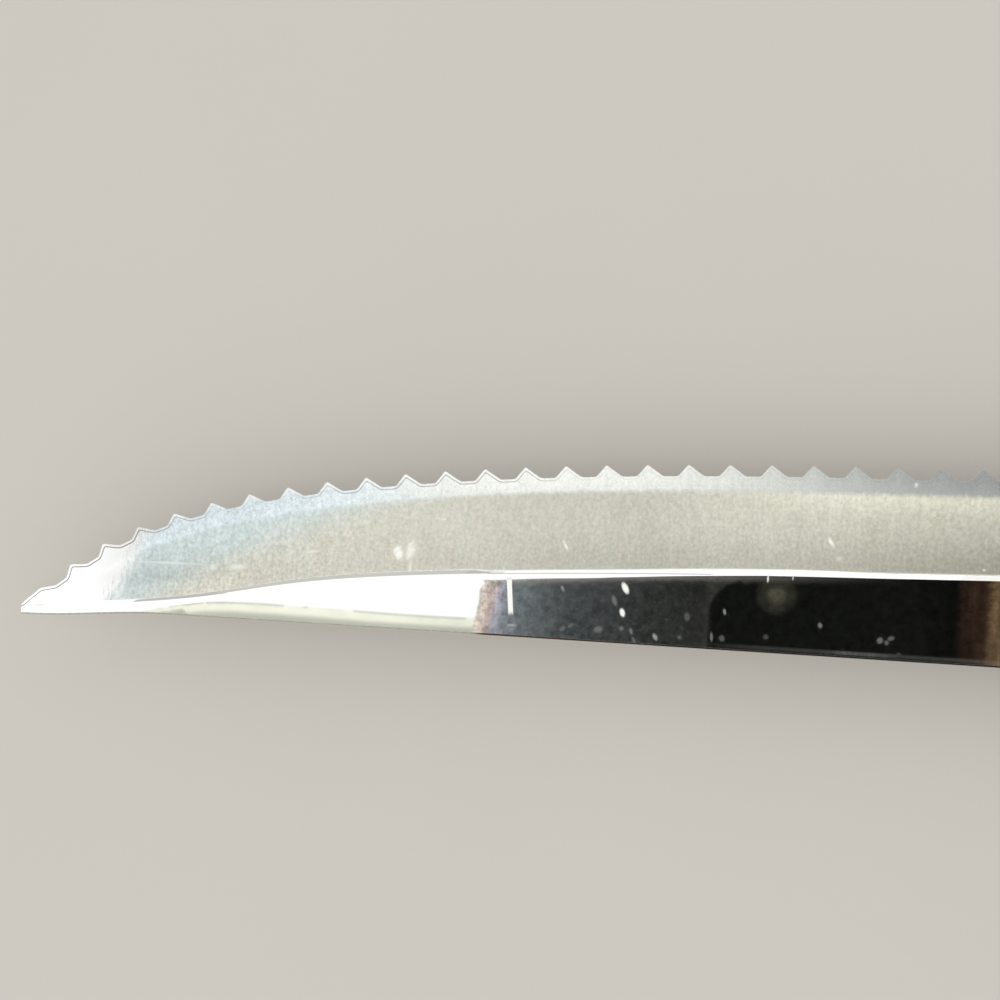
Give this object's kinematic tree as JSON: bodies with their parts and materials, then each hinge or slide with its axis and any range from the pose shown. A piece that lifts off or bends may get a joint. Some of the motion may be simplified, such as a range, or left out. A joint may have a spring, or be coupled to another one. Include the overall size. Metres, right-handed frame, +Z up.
{
  "type": "trimming knife",
  "caption": "Small kitchen knife with a hollow-ground, serrated blade, full tang, two riveted handle scales and a rounded butt.",
  "frame": {"origin": "middle of the flat face of the lower scale, which the knife rests on, halfway along the handle", "axes": "+X along the knife from the tip towards the butt, +Y from the spine towards the serrated edge, +Z up, away from the face that the knife rests on"},
  "size_m": [0.246, 0.0245, 0.0163],
  "materials": {
    "blade_steel": "stainless steel: mirror-polished flat along the spine, satin hollow grind with fine lines from spine to edge, brighter polished band along the teeth",
    "scale_wood": "dark brown resin-laminated wood, smooth satin, grain along the handle",
    "rivet_metal": "nickel silver, ground flush with the scales and lightly polished"
  },
  "bodies": {
    "root": {"blade": "blade_steel", "scale_upper": "scale_wood", "scale_lower": "scale_wood", "rivet_front_male": "rivet_metal", "rivet_front_female": "rivet_metal", "rivet_middle_male": "rivet_metal", "rivet_middle_female": "rivet_metal", "rivet_rear_male": "rivet_metal", "rivet_rear_female": "rivet_metal"}
  },
  "joints": []
}
